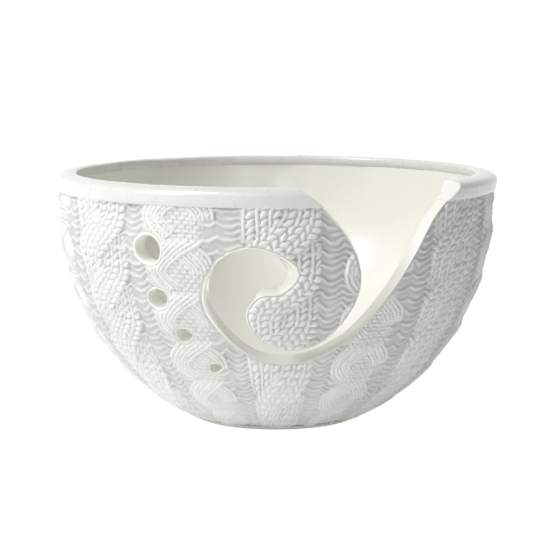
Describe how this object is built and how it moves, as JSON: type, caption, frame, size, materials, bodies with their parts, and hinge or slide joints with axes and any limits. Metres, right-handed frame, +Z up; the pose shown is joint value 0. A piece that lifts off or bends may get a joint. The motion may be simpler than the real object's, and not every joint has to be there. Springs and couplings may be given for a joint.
{
  "type": "yarn bowl",
  "caption": "Round ceramic yarn bowl with a cable-knit outside, a swirl slot that guides the yarn, needle holes and a rolled rim.",
  "frame": {"origin": "centre of the foot, on the plane the bowl stands on", "axes": "+Z up out of the bowl's mouth, -Y towards the swirl slot, +X towards the slot's mouth in the rim"},
  "size_m": [0.1784, 0.1784, 0.1005],
  "materials": {
    "bisque": "matt, unglazed",
    "glaze": "clear gloss glaze over white clay",
    "bare_foot": "bare clay, wiped and sanded"
  },
  "bodies": {
    "root": {"knit_wall": "bisque", "glazed_lining": "glaze", "rim_band": "glaze", "swirl_cut_lip": "glaze", "needle_hole_lip_1": "glaze", "needle_hole_lip_2": "glaze", "needle_hole_lip_3": "glaze", "needle_hole_lip_4": "glaze", "foot_ring": "bare_foot"}
  },
  "joints": []
}
